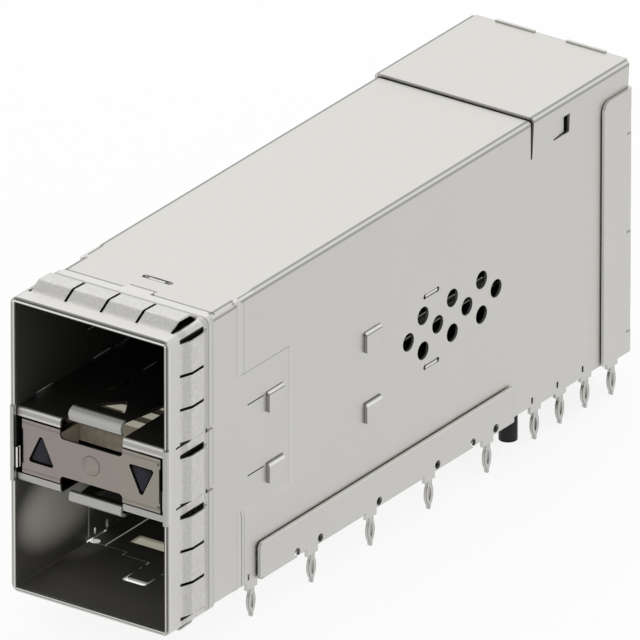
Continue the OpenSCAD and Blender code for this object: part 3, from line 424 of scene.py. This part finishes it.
class CAGE_OT_sheet(bpy.types.Operator):
    """Finish the folded sheet: shell, floor plate, rear cover and shelves"""

    bl_idname = "cage.sheet"
    bl_label = "Plated sheet"

    def execute(self, context):
        colours = context.scene.cage_colours
        self.finish_shell(colours)
        self.finish_floor(colours)
        cover = rolled_sheet("cover_sheet", colours.sheet, 0.42)
        # Painted highlight on the cover where it lies outside the walls, in front of its side
        # flanges
        cover.paint((cover.side > WALL) * (cover.depth < COVER_START - 0.2), colours.bright)
        finish_sheet(cover, [NODES["rear_cover"]])
        self.finish_shelves(colours)
        return {"FINISHED"}

    def finish_shell(self, colours):
        shell = rolled_sheet("shell_sheet", colours.sheet, 0.42)
        fold_along(shell, WALL, TOP, FOLD, RING_END + RAMP, CAP_START - 0.2, colours.fold_highlight)
        fold_along(shell, CAP_WALL, CAP_TOP, FOLD, CAP_START, LENGTH + 1, colours.fold_highlight)
        fold_along(shell, RING_WALL, RING_TOP, RING_FOLD, GASKET_END, RING_END, colours.fold_highlight)
        # Painted shade line on the shell behind the gasket's rear edge, which steps round its tab
        top = shell.height > RING_TOP - 0.1
        edge = GASKET_END + 0.6 + 0.6 * (shell.side < GASKET_TAB)
        shell.multiply(top * (shell.depth - edge).line(0, 0.15), 0.45)
        self.mark_joggle(shell)
        # Painted shade on the ring under the gasket, seen only through the slots between the
        # fingers
        ring = (shell.side > RING_WALL - 0.03) | (shell.height > RING_TOP - 0.03)
        shell.multiply(ring * shell.depth.between(*UNDER_FINGERS), 0.12)
        # Cut edge of the rim, with a painted highlight on its top and painted shade where it meets
        # the gasket and where it turns into the port
        rim = shell.depth < 0.03
        shell.paint(rim, colours.rim)
        shell.paint(rim * (shell.height > RING_TOP - SHEET - 0.03), colours.bright)
        outer = (shell.side > RING_WALL - 0.06) | (shell.height > RING_TOP - 0.04)
        outer = outer | (shell.height < 0.06 - SHEET)
        shell.multiply(rim * outer, 0.2)
        mouth = shell.height.between(-0.07, RING_TOP - SHEET + 0.06, 0.005)
        mouth = mouth * (shell.x < RING_WALL - SHEET + 0.07) * (shell.x > SHEET - RING_WALL)
        shell.multiply(rim * mouth, 0.12)
        # Painted shade on the front of the tab in the top's slot
        tab = top * (shell.side < TOP_TAB)
        shell.multiply(tab * shell.depth.line(RING_END - 0.5, 0.07), 0.5)
        self.darken_ports(shell, colours)
        finish_sheet(shell, [NODES["cage_shell"]])

    def mark_joggle(self, shell):
        """Paints faint shade lines where the walls step out behind the ring."""
        wall = shell.side > RING_WALL - 0.1
        patch = shell.height.between(PATCH_LOW, PATCH_HIGH)
        shell.multiply(wall * patch * shell.depth.line(PATCH_END, 0.12), 0.9)
        beside = wall * (1 - patch) * (shell.height < TOP - FOLD)
        shell.multiply(beside * shell.depth.line(RING_END, 0.12), 0.9)
        shell.multiply(beside * shell.depth.line(RING_END + 2 * RAMP, 0.12), 0.85)
        sheared = wall * shell.depth.between(RING_END + RAMP, PATCH_END)
        shell.multiply(sheared * shell.height.line(PATCH_HIGH, 0.1), 0.6)

    def finish_floor(self, colours):
        floor = rolled_sheet("floor_sheet", colours.sheet, 0.42)
        # Painted highlight on the top edges of the side flanges
        top = (floor.side > WALL + 0.1) * (floor.height > FLANGE_TOP - 0.06)
        floor.paint(top, colours.bright)
        self.darken_ports(floor, colours)
        finish_sheet(floor, [NODES["bottom_plate"]])

    def darken_ports(self, sheet, colours):
        """Paints shade on the sheet inside the ports, with a painted sheen on the lower port's
        walls and floor.
        """
        ports = inside(sheet, WALL - SHEET + 0.02, -0.05, RING_TOP - SHEET + 0.02, 0.1)
        # Painted shade inside the ports, lighter in the lower port
        sheet.paint(ports, colours.inner)
        lower = sheet.height < LOWER_CEILING + 1
        sheet.paint(ports * lower, colours.lower)
        # Painted shade, darker towards the lower port's mouth
        sheet.multiply(ports * lower * (1 - sheet.depth.ramp(0, 4)), 0.72)
        # Painted sheen on the lower port's walls
        sheen = 1 - oval(sheet.depth, sheet.height, *WALL_SHEEN).ramp(0.0, 1.0)
        wall = ports * (sheet.side > PORT_SIDE)
        sheet.paint(wall * sheen * lower, colours.glow)
        # Painted highlights on the edges of the step behind the ring and of the slots for the upper
        # shelf's tabs
        step = sheet.height.between(0.3, LOWER_CEILING) * sheet.depth.line(STEP_EDGE, 0.13)
        sheet.paint(wall * step, colours.bright)
        slots = sheet.depth.among(TAB_SLOTS, 0.1) * sheet.height.line(UPPER_FLOOR + 0.12, 0.09)
        sheet.paint(wall * slots, colours.bright)
        # Painted sheen on the floor beside the walls
        pool = 1 - oval(sheet.depth, sheet.side, *FLOOR_SHEEN).ramp(0.0, 1.0)
        sheet.paint(ports * pool * pool * (sheet.height < 0.05), colours.glow, 0.4)
        # Painted shade in the bay between the ports
        sheet.multiply(ports * sheet.height.between(LOWER_CEILING, UPPER_FLOOR), 0.05)
        sheet.rough = sheet.rough + ports * 0.1
        sheet.set(Metallic=1 - ports * 0.7)

    def finish_shelves(self, colours):
        shelves = rolled_sheet("shelf_sheet", colours.sheet, 0.4)
        # Painted shade on the floors behind the lips, darker than their folded fronts, and painted
        # highlights on the floors
        floors = inside(shelves, SHELF_SIDE, 0, TOP, LIP_DEPTH) * (shelves.side > TONGUE + 0.1)
        floors = inside(shelves, SHELF_SIDE, 0, TOP, TONGUE_DEPTH + 0.05) | floors
        shelves.paint(floors, colours.inner, 0.4)
        marks = shelves.depth.among(SHELF_MARKS, 0.2) * shelves.side.line(TONGUE + 0.3, 0.06)
        shelves.paint(floors * marks, colours.bright)
        # Painted shade on the lips' flat fronts between their brighter fold and edge, and a painted
        # highlight where the lower lip turns into its fold
        rise, drop = shelves.height - MIDDLE, MIDDLE - shelves.height
        front = (shelves.depth < LIP_DEPTH) * (shelves.side > TONGUE + 0.3)
        upper = front * (shelves.height > MIDDLE)
        shelves.multiply(upper * rise.between(*UPPER_LIP, 0.06), 0.62)
        shelves.multiply((front - upper) * drop.between(*LOWER_LIP, 0.06), 0.66)
        shelves.paint((front - upper) * drop.ramp(*LIP_FOLD), colours.bright)
        # Painted shade in the bay behind the lips
        bay = (abs(rise) < BAY_RISE) * (shelves.side < SHELF_SIDE - 0.05)
        shelves.multiply(bay * shelves.depth.ramp(LIP_DEPTH - 0.08, LIP_DEPTH), 0.06)
        # Painted shade on the tongues' slanted lips
        lip = (shelves.side < TONGUE) * (shelves.depth < TONGUE_DEPTH)
        beyond = (shelves.height > UPPER_FLOOR - 0.3) | (shelves.height < LOWER_CEILING + 0.3)
        shelves.multiply(lip * beyond, 0.66)
        shelves.set(Metallic=1 - (floors * 0.7 | lip * beyond * 0.85))
        # Tabs on the outside: painted highlight on the roll between painted shade lines, and
        # painted shade on the front face
        tabs = shelves.side > RING_WALL + 0.04
        shelves.paint(tabs * abs(rise).between(*TAB_ROLL, 0.03), colours.bright)
        shelves.multiply(tabs * abs(rise).line(TAB_LINE, 0.07), 0.5)
        for start in WALL_TABS:
            shelves.multiply(tabs * shelves.depth.line(start, 0.06), 0.6)
        finish_sheet(shelves, [NODES["upper_shelf"], NODES["lower_shelf"]])


class CAGE_OT_gasket(bpy.types.Operator):
    """Finish the spring strip round the ports' mouths"""

    bl_idname = "cage.gasket"
    bl_label = "Spring strip"

    def execute(self, context):
        colours = context.scene.cage_colours
        strip = rolled_sheet("gasket_strip", colours.strip, 0.36, grain_size=0.09)
        mottle = strip.noise(0.22, detail=4.0)
        # Painted shade on the fingers' front slopes and rear feet
        slope = strip.depth.between(*FINGER_SLOPE, 0.15) * 0.85
        strip.multiply(slope | strip.depth.between(*FINGER_FOOT, 0.1), 0.8)
        strip.multiply(mottle.ramp(0.35, 0.65) * strip.depth.between(*FINGERS, 0.2), 0.88)
        # Painted shade line behind the fingers' feet
        strip.multiply(strip.depth.line(FINGER_END, 0.16), 0.62)
        # Painted shade on the cut front edge and the wraps' fronts, and a painted highlight on the
        # corner behind that edge
        wrap = 1 - strip.depth.ramp(-0.14, -0.04)
        strip.multiply((strip.depth < 0.12) * (1 - wrap) * (strip.side > HOOK_SIDE + 0.02), 0.8)
        strip.multiply((strip.height > RING_TOP) * (strip.depth < 0.2), 0.42)
        strip.multiply(wrap, 0.66)
        strip.multiply((strip.side > RING_WALL + 0.1) * strip.depth.between(0.1, 0.24), 1.2)
        # Darker towards the rear edge on the sides
        rear = strip.depth.ramp(GASKET_END - 0.45, GASKET_END - 0.3)
        strip.multiply((strip.side > RING_WALL) * rear, 0.86)
        # Painted shade on the hooks inside the wraps, in the bay's shadow, and painted highlight
        # lines on them
        hook = (strip.side < HOOK_SIDE) * (abs(strip.height - MIDDLE) < 3)
        strip.multiply(hook, 0.01)
        corner = (strip.depth < -0.1) * strip.side.line(6.7, 0.12)
        corner = (corner | strip.depth.line(0.13, 0.12)) * hook * (strip.x < 0)
        strip.paint(corner, colours.bright)
        strip.set(Metallic=1 - corner)
        finish_sheet(strip, [NODES["emi_gasket"]])
        return {"FINISHED"}


class CAGE_OT_plate(bpy.types.Operator):
    """Finish the front plate between the ports"""

    bl_idname = "cage.plate"
    bl_label = "Front plate"

    def execute(self, context):
        colours = context.scene.cage_colours
        plate = rolled_sheet("plate_sheet", colours.plate, 0.4, edges=1.0)
        # Patches of another tint, painted shade lines on the bends along its long edges, and
        # painted highlights on its cut edges
        patches = (plate.noise(2.5, detail=4.0) + 0.05 * plate.x).ramp(0.4, 0.7)
        plate.paint(patches, colours.plate_tint)
        rise = abs(plate.height - MIDDLE)
        plate.multiply(rise.line(BEND_RISE, 0.1), 0.75)
        plate.multiply(plate.near_edges(0.08) * (plate.depth < 0.3), 1.35)
        # A painted shade ring round its round spot, and the two dots at its right end
        spot = oval(plate.x, rise, (0, 0)) ** 0.5
        plate.multiply(spot.line(SPOT_R, 0.08), 0.72)
        plate.multiply(1 - oval(plate.x, rise, DOT).ramp(0.006, 0.02), 0.35)
        # Painted shade on the sides of the notches in its ends and on its legs behind the front
        plate.multiply((plate.side > NOTCH_SIDE) * (rise < NOTCH_RISE), 0.05)
        plate.multiply(plate.depth.ramp(*PLATE_LEGS), 0.06)
        finish_sheet(plate, [NODES["front_plate"]])
        return {"FINISHED"}


class CAGE_OT_connector(bpy.types.Operator):
    """Finish the connector: housing, organiser, wafers and terminals"""

    bl_idname = "cage.connector"
    bl_label = "Connector"

    def execute(self, context):
        colours = context.scene.cage_colours
        plastic = Finish("black_plastic")
        texture = plastic.noise(0.12, detail=4.0)
        low, high = shade(colours.plastic, 0.8), shade(colours.plastic, 1.3)
        tone = plastic.mix(texture.ramp(0.35, 0.65), low, high)
        plastic.set(Base_Color=tone, Roughness=0.42 + texture * 0.18, Specular_IOR_Level=0.25)
        plastic.bump(texture, 0.004)
        dress([NODES["connector_housing"], NODES["tail_organiser"]], plastic)
        dress(nodes_named("contact_wafer"), plastic)

        brass = Finish("terminal_alloy", metallic=1.0)
        wear = brass.noise(0.3, detail=3.0)
        tone = brass.mix(wear, shade(colours.terminal, 0.9), shade(colours.terminal, 1.08))
        brass.set(Base_Color=tone, Roughness=0.24 + wear * 0.12)
        dress(nodes_named("lead_frame"), brass)
        return {"FINISHED"}


class CAGE_OT_light_pipes(bpy.types.Operator):
    """Finish the light pipes, their bridge and the film, and make the lenses in the windows"""

    bl_idname = "cage.light_pipes"
    bl_label = "Light pipes"

    def execute(self, context):
        colours = context.scene.cage_colours
        self.finish_pipes(colours)
        self.finish_cream(colours)
        glass = Finish("lens_plastic")
        haze = glass.noise(0.3, detail=3.0)
        # Painted shade round the lens's edge, with a lighter core
        core = 1 - oval(glass.side, abs(glass.height - MIDDLE), *LENS_CORE).ramp(0.05, 0.8)
        tone = glass.mix(core, shade(colours.lens, 0.1), shade(colours.lens, 1.1))
        glass.set(Base_Color=tone, Roughness=0.22 + haze * 0.1, Specular_IOR_Level=0.2)
        for name, side in (("lens_left", -1), ("lens_right", 1)):
            self.make_lens(name, side, glass)
        return {"FINISHED"}

    def finish_pipes(self, colours):
        """Streaks the pipes along their length, paints a highlight along their outer edge, and
        paints shade on their fronts behind the lenses and on their sides in the bay.
        """
        pipe = Finish("clear_plastic")
        haze = pipe.noise(0.8, detail=3.0)
        streak = pipe.noise(0.1, stretch=(1, 30, 1)).ramp(0.45, 0.62)
        tone = pipe.mix(streak, shade(colours.pipe, 0.3), shade(colours.pipe, 1.4))
        edge = (pipe.side > PIPE_HIGH.x - 0.08) * abs(pipe.height - MIDDLE).line(0.64, 0.08)
        tone = pipe.mix(edge, tone, shade(colours.cream, 1.6))
        back = pipe.depth.ramp(PIPE_FRONT, PIPE_FRONT + 0.3)
        tone = pipe.mix(back, shade(colours.lens, 0.3), tone)
        flank = (pipe.side < PIPE_LOW.x + 0.1) * pipe.depth.between(*PIPE_FLANK)
        tone = pipe.mix(flank, tone, shade(colours.shaded_cream, 0.9))
        pipe.set(Base_Color=tone, Roughness=0.12 + haze * 0.1, Specular_IOR_Level=0.12)
        dress([NODES["light_pipe_left"], NODES["light_pipe_right"]], pipe)

    def finish_cream(self, colours):
        """Makes bridge and film pale, with a painted glow where lit, and paints the bridge's front
        in shade.
        """
        cream = Finish("cream_plastic")
        haze = cream.noise(0.5, detail=3.0)
        lit = (cream.height > UPPER_FLOOR - 0.65) | (cream.height < 0)
        pale = cream.mix(haze, shade(colours.cream, 0.9), shade(colours.cream, 1.08))
        in_shade = cream.mix(haze, shade(colours.shaded_cream, 0.6), shade(colours.shaded_cream, 1.4))
        tone = cream.mix(lit, in_shade, pale)
        cream.set(Base_Color=tone, Roughness=0.4 + haze * 0.15)
        # Painted glow on the lit parts
        cream.set(Emission_Color=cream.mix(lit, BLACK, tone), Emission_Strength=0.7)
        dress([NODES["light_pipe_bridge"], NODES["insulator_film"]], cream)

    def make_lens(self, name, side, glass):
        """Models the crowned triangle in one window: the left one points up, the right one down."""
        bpy.ops.object.select_all(action="DESELECT")
        bpy.ops.mesh.primitive_cylinder_add(
            vertices=3, radius=1, depth=LENS_DEPTH, rotation=(math.pi / 2, 0, 0))
        lens = bpy.context.object
        lens.name = name
        bpy.ops.object.transform_apply(location=False, rotation=True, scale=False)
        # From the unit triangle, sqrt(3) wide and 1.5 high, to the lens's width and height
        lens.scale = (LENS_W / math.sqrt(3) * MM, MM, -side * LENS_H / 1.5 * MM)
        # The cylinder's axis is a sixth of the height away from half way up the triangle
        middle = MIDDLE - side * (WINDOW_SHIFT - LENS_LIFT) + side * LENS_H / 6
        depth = LENS_FRONT + LENS_DEPTH / 2
        place = Vector((side * LENS_X, SHELL_LOW.y + depth, FLOOR + middle))
        lens.location = place * MM
        bpy.ops.object.transform_apply(location=True, rotation=False, scale=True)
        bpy.ops.object.mode_set(mode="EDIT")
        bpy.ops.mesh.select_all(action="SELECT")
        bpy.ops.mesh.normals_make_consistent(inside=False)
        self.pick_edges(lens)
        bpy.ops.mesh.bevel(offset=LENS_CORNER * MM, segments=6, affect="EDGES")
        self.pick_front(lens)
        for inset, rise in LENS_STEPS:
            bpy.ops.mesh.inset(thickness=inset * MM)
            bpy.ops.transform.translate(value=(0, -rise * MM, 0))
        bpy.ops.object.mode_set(mode="OBJECT")
        bpy.ops.object.shade_smooth_by_angle(angle=math.radians(40))
        lens.data.materials.append(glass.material)
        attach(lens, "root")

    def pick_edges(self, lens):
        """Selects the three edges that run from front to back."""
        bpy.ops.mesh.select_mode(type="EDGE")
        bpy.ops.mesh.select_all(action="DESELECT")
        bpy.ops.object.mode_set(mode="OBJECT")
        points = lens.data.vertices
        for edge in lens.data.edges:
            first, last = (points[i].co.y for i in edge.vertices)
            edge.select = abs(first - last) > 0.9 * LENS_DEPTH * MM
        bpy.ops.object.mode_set(mode="EDIT")

    def pick_front(self, lens):
        """Selects the face that looks out of the window."""
        bpy.ops.mesh.select_mode(type="FACE")
        bpy.ops.mesh.select_all(action="DESELECT")
        bpy.ops.object.mode_set(mode="OBJECT")
        for face in lens.data.polygons:
            face.select = face.normal.y < -0.9
        bpy.ops.object.mode_set(mode="EDIT")


class CAGE_OT_stage(bpy.types.Operator):
    """Lay the floor, light it softly and set up the camera"""

    bl_idname = "cage.stage"
    bl_label = "Stage"

    def execute(self, context):
        stage = context.scene.cage_stage
        self.make_floor()
        self.make_world(context, stage.world)
        self.make_lamp(context, stage)
        self.make_camera(context, stage)
        context.scene.view_settings.view_transform = "Standard"
        return {"FINISHED"}

    def make_floor(self):
        """Lays white paper that camera, mirror and clear-plastic rays see as lit evenly."""
        bpy.ops.object.select_all(action="DESELECT")
        bpy.ops.mesh.primitive_grid_add(x_subdivisions=4, y_subdivisions=4, size=PAPER)
        floor = bpy.context.object
        floor.name = "floor"
        paper = Finish("floor_paper")
        paper.set(Base_Color=(0.9, 0.9, 0.9, 1), Roughness=0.9)
        camera, glossy, through = (
            paper.node("ShaderNodeLightPath", {}, output=name)
            for name in ("Is Camera Ray", "Is Glossy Ray", "Is Transmission Ray"))
        glow = paper.node("ShaderNodeEmission", {"Color": WHITE, "Strength": 1.0})
        surface = Value(paper, paper.shader.outputs[0])
        seen = (camera | glossy | through) * 0.86
        mixed = paper.node("ShaderNodeMixShader", {0: seen, 1: surface, 2: glow})
        paper.tree.links.new(mixed.socket, paper.tree.nodes["Material Output"].inputs["Surface"])
        floor.data.materials.append(paper.material)

    def make_world(self, context, strength):
        world = bpy.data.worlds.new("studio")
        world.use_nodes = True
        background = world.node_tree.nodes["Background"]
        background.inputs["Color"].default_value = WHITE
        background.inputs["Strength"].default_value = strength
        context.scene.world = world

    def make_lamp(self, context, stage):
        """Hangs a broad lamp above and behind the cage, on the left."""
        light = bpy.data.lights.new("key", "AREA")
        light.energy = stage.key
        light.shape = "DISK"
        light.size = KEY_SIZE
        lamp = bpy.data.objects.new("key", light)
        context.scene.collection.objects.link(lamp)
        lamp.location = KEY_PLACE
        lamp.rotation_mode = "QUATERNION"
        lamp.rotation_quaternion = (-lamp.location).to_track_quat("-Z", "Y")

    def make_camera(self, context, stage):
        """Aims a long lens at the target from as far off as the view's width asks."""
        camera_data = bpy.data.cameras.new("camera")
        camera_data.lens = stage.lens
        camera_data.sensor_width = SENSOR
        distance = stage.width * stage.lens / SENSOR
        camera_data.clip_start, camera_data.clip_end = 0.5 * distance, 2 * distance
        camera = bpy.data.objects.new("camera", camera_data)
        context.scene.collection.objects.link(camera)
        across = math.cos(stage.elevation)
        x, y = math.sin(stage.azimuth) * across, -math.cos(stage.azimuth) * across
        back = Vector((x, y, math.sin(stage.elevation)))
        camera.location = Vector(stage.target) + back * distance
        camera.rotation_mode = "QUATERNION"
        camera.rotation_quaternion = (-back).to_track_quat("-Z", "Y")
        context.scene.camera = camera


class CAGE_PT_panel(bpy.types.Panel):
    """Lists the cage's groups in the sidebar"""

    bl_label = "Transceiver cage"
    bl_idname = "CAGE_PT_panel"
    bl_space_type = "VIEW_3D"
    bl_region_type = "UI"
    bl_category = "Cage"

    def draw(self, context):
        for operator in OPERATORS:
            self.layout.operator(operator.bl_idname)
        for group in (context.scene.cage_colours, context.scene.cage_stage):
            for name in group.__annotations__:
                self.layout.prop(group, name)


OPERATORS = (CAGE_OT_sheet, CAGE_OT_gasket, CAGE_OT_plate, CAGE_OT_connector, CAGE_OT_light_pipes,
             CAGE_OT_stage)
CLASSES = (CageColours, StageSettings) + OPERATORS + (CAGE_PT_panel,)


def register():
    for cls in CLASSES:
        bpy.utils.register_class(cls)
    bpy.types.Scene.cage_colours = PointerProperty(type=CageColours)
    bpy.types.Scene.cage_stage = PointerProperty(type=StageSettings)


def unregister():
    del bpy.types.Scene.cage_stage
    del bpy.types.Scene.cage_colours
    for cls in reversed(CLASSES):
        bpy.utils.unregister_class(cls)


def main():
    register()
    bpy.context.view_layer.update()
    bpy.ops.object.select_all(action="DESELECT")
    bpy.ops.cage.sheet()
    bpy.ops.cage.gasket()
    bpy.ops.cage.plate()
    bpy.ops.cage.connector()
    bpy.ops.cage.light_pipes()
    bpy.ops.cage.stage()


if __name__ == "__main__":
    main()
